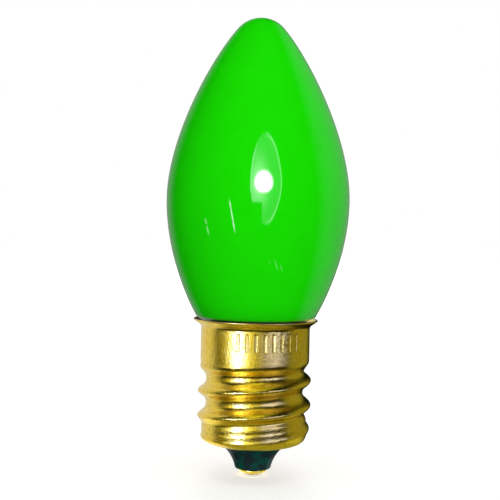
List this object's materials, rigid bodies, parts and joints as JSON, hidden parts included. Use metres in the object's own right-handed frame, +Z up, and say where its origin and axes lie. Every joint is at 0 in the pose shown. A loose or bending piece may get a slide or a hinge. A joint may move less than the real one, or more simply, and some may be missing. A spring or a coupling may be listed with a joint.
{
  "type": "christmas light bulb",
  "caption": "Pointed coloured lamp on a screw base, with a flared shell lip, a dark glass insulator and a domed centre contact.",
  "frame": {"origin": "lowest point of the centre contact, on the lamp's axis", "axes": "+Z up the lamp's axis, from the contact to the glass tip; +Y towards the side that the side lead's solder is on"},
  "size_m": [0.0188, 0.0188, 0.0472],
  "materials": {
    "green_glass": "opaque ceramic coat, gloss",
    "brass": "bright, drawn and rolled",
    "dark_glass": "moulded, gloss",
    "solder": "dull",
    "wire": "drawn",
    "cement": "matt, baked"
  },
  "bodies": {
    "root": {"glass_envelope": "green_glass", "screw_shell": "brass", "insulator": "dark_glass", "centre_contact": "brass", "centre_solder": "solder", "centre_lead_wire": "wire", "side_lead_wire": "wire", "side_solder": "solder", "basing_cement": "cement"}
  },
  "joints": []
}
